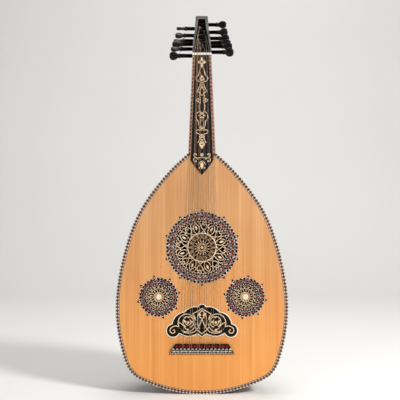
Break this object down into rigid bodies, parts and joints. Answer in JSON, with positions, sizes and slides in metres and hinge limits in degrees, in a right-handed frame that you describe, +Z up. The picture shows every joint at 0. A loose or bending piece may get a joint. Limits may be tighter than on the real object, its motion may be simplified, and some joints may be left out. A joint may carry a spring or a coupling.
{
  "type": "oud",
  "caption": "Fretless short-necked lute with a staved bowl, three carved roses and a peg box bent back, strung over a glued tie bridge.",
  "frame": {"origin": "tail end of the soundboard on its centre line, in the plane of its front face", "axes": "+Z up the neck, +X to the treble side, +Y back into the bowl"},
  "size_m": [0.3586, 0.1896, 0.8221],
  "materials": {
    "rib_walnut": "satin shellac over dark walnut",
    "rib_walnut_light": "satin shellac over lighter walnut",
    "light_inlay": "thin maple lines, varnished",
    "inner_spruce": "bare",
    "soundboard_spruce": "fine vertical grain, thin amber varnish",
    "mosaic": "small red, black and pale diamonds, varnished",
    "carved_rose": "cut fretwork",
    "bridge_wood": "dark, with a mosaic top",
    "neck_wood": "dark satin",
    "ebony": "polished, with cream inlay",
    "bone": "polished bone",
    "pegbox_black": "glossy black lacquer",
    "nylon_string": "clear nylon",
    "wound_string": "wound wire"
  },
  "bodies": {
    "oud": {"bridge": "bridge_wood", "edge_binding": "mosaic", "fingerboard": "ebony", "fingerboard_edge_strips": "mosaic", "fingerboard_point": "ebony", "neck": "neck_wood", "neck_block": "inner_spruce", "nut": "bone", "pegbox_back": "pegbox_black", "pegbox_cap": "pegbox_black", "pegbox_cheek_bass": "pegbox_black", "pegbox_cheek_treble": "pegbox_black", "pegbox_end_block": "pegbox_black", "plectrum_guard": "ebony", "rib_01": "rib_walnut", "rib_02": "rib_walnut_light", "rib_03": "rib_walnut", "rib_04": "rib_walnut_light", "rib_05": "rib_walnut", "rib_06": "rib_walnut_light", "rib_07": "rib_walnut", "rib_08": "rib_walnut_light", "rib_09": "rib_walnut", "rib_10": "rib_walnut_light", "rib_11": "rib_walnut", "rib_12": "rib_walnut_light", "rib_13": "rib_walnut", "rib_14": "rib_walnut_light", "rib_15": "rib_walnut", "rib_lines": "light_inlay", "rose_large": "carved_rose", "rose_ring_large": "mosaic", "rose_ring_small_bass": "mosaic", "rose_ring_small_treble": "mosaic", "rose_small_bass": "carved_rose", "rose_small_treble": "carved_rose", "soundboard_bass_half": "soundboard_spruce", "soundboard_braces": "inner_spruce", "soundboard_treble_half": "soundboard_spruce", "string_course_1": "nylon_string", "string_course_2": "nylon_string", "string_course_3": "nylon_string", "string_course_4": "wound_string", "string_course_5": "wound_string", "string_course_6": "wound_string", "tail_block": "inner_spruce", "tail_clasp": "rib_walnut_light"},
    "peg_01": {"peg_01": "pegbox_black"},
    "peg_02": {"peg_02": "pegbox_black"},
    "peg_03": {"peg_03": "pegbox_black"},
    "peg_04": {"peg_04": "pegbox_black"},
    "peg_05": {"peg_05": "pegbox_black"},
    "peg_06": {"peg_06": "pegbox_black"},
    "peg_07": {"peg_07": "pegbox_black"},
    "peg_08": {"peg_08": "pegbox_black"},
    "peg_09": {"peg_09": "pegbox_black"},
    "peg_10": {"peg_10": "pegbox_black"},
    "peg_11": {"peg_11": "pegbox_black"},
    "peg_12": {"peg_12": "pegbox_black"}
  },
  "joints": [
    {"name": "turn_peg_01", "type": "hinge", "parent": "oud", "child": "peg_01", "pos_m": [0, 0.01999, 0.70703], "axis": [1, 0, 0], "continuous": true},
    {"name": "turn_peg_02", "type": "hinge", "parent": "oud", "child": "peg_02", "pos_m": [0, 0.02896, 0.71643], "axis": [1, 0, 0], "continuous": true},
    {"name": "turn_peg_03", "type": "hinge", "parent": "oud", "child": "peg_03", "pos_m": [0, 0.03874, 0.72501], "axis": [1, 0, 0], "continuous": true},
    {"name": "turn_peg_04", "type": "hinge", "parent": "oud", "child": "peg_04", "pos_m": [0, 0.04926, 0.73268], "axis": [1, 0, 0], "continuous": true},
    {"name": "turn_peg_05", "type": "hinge", "parent": "oud", "child": "peg_05", "pos_m": [0, 0.06042, 0.73939], "axis": [1, 0, 0], "continuous": true},
    {"name": "turn_peg_06", "type": "hinge", "parent": "oud", "child": "peg_06", "pos_m": [0, 0.07215, 0.74508], "axis": [1, 0, 0], "continuous": true},
    {"name": "turn_peg_07", "type": "hinge", "parent": "oud", "child": "peg_07", "pos_m": [0, 0.08568, 0.75198], "axis": [1, 0, 0], "continuous": true},
    {"name": "turn_peg_08", "type": "hinge", "parent": "oud", "child": "peg_08", "pos_m": [0, 0.09898, 0.7601], "axis": [1, 0, 0], "continuous": true},
    {"name": "turn_peg_09", "type": "hinge", "parent": "oud", "child": "peg_09", "pos_m": [0, 0.1116, 0.76909], "axis": [1, 0, 0], "continuous": true},
    {"name": "turn_peg_10", "type": "hinge", "parent": "oud", "child": "peg_10", "pos_m": [0, 0.12351, 0.77889], "axis": [1, 0, 0], "continuous": true},
    {"name": "turn_peg_11", "type": "hinge", "parent": "oud", "child": "peg_11", "pos_m": [0, 0.13463, 0.78946], "axis": [1, 0, 0], "continuous": true},
    {"name": "turn_peg_12", "type": "hinge", "parent": "oud", "child": "peg_12", "pos_m": [0, 0.14493, 0.80073], "axis": [1, 0, 0], "continuous": true}
  ]
}
